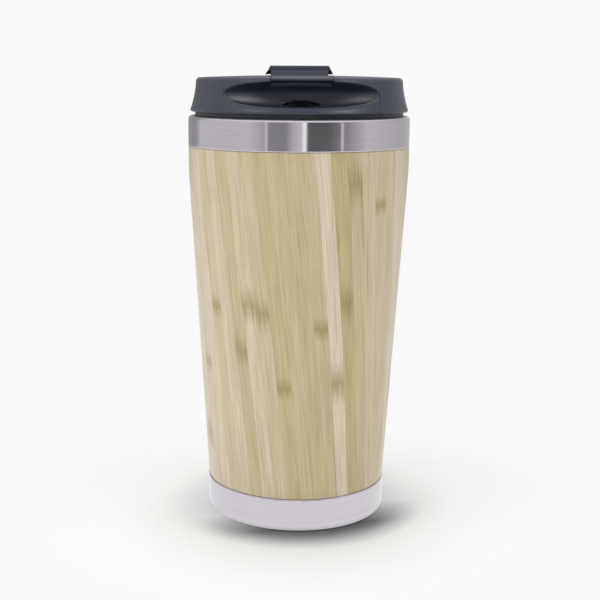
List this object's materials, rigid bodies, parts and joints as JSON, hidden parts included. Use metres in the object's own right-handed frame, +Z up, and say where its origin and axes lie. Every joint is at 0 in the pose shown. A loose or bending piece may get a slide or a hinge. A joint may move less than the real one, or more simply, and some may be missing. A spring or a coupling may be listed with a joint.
{
  "type": "bamboo travel cup",
  "caption": "Insulated travel cup: steel vessel in a tapered bamboo sleeve with steel collar and base, and a press-on sipping lid with a thumb slide.",
  "frame": {"origin": "centre of the cup's base, on the surface that it stands on", "axes": "+Z up along the cup's axis, -Y towards the drinking side, +X to the right of someone who looks at the drinking side"},
  "size_m": [0.088, 0.088, 0.1806],
  "materials": {
    "steel": "brushed round the axis",
    "bamboo": "laminated bamboo, turned and clear lacquered",
    "lid_plastic": "satin moulded polypropylene",
    "silicone": "moulded silicone"
  },
  "bodies": {
    "cup": {"inner_vessel": "steel", "collar_ring": "steel", "bamboo_sleeve": "bamboo", "base_cap": "steel", "base_disc": "steel"},
    "lid": {"lid_shell": "lid_plastic", "lid_insert": "lid_plastic", "lid_gasket": "silicone"},
    "closure": {"thumb_slide": "lid_plastic", "shutter": "lid_plastic", "shutter_pad": "silicone"}
  },
  "joints": [
    {"name": "lid_lift", "type": "slide", "parent": "cup", "child": "lid", "axis": [0, 0, 1], "range_m": [0, 0.06]},
    {"name": "thumb_slide", "type": "slide", "parent": "lid", "child": "closure", "axis": [0, 1, 0], "range_m": [0, 0.0105]}
  ]
}
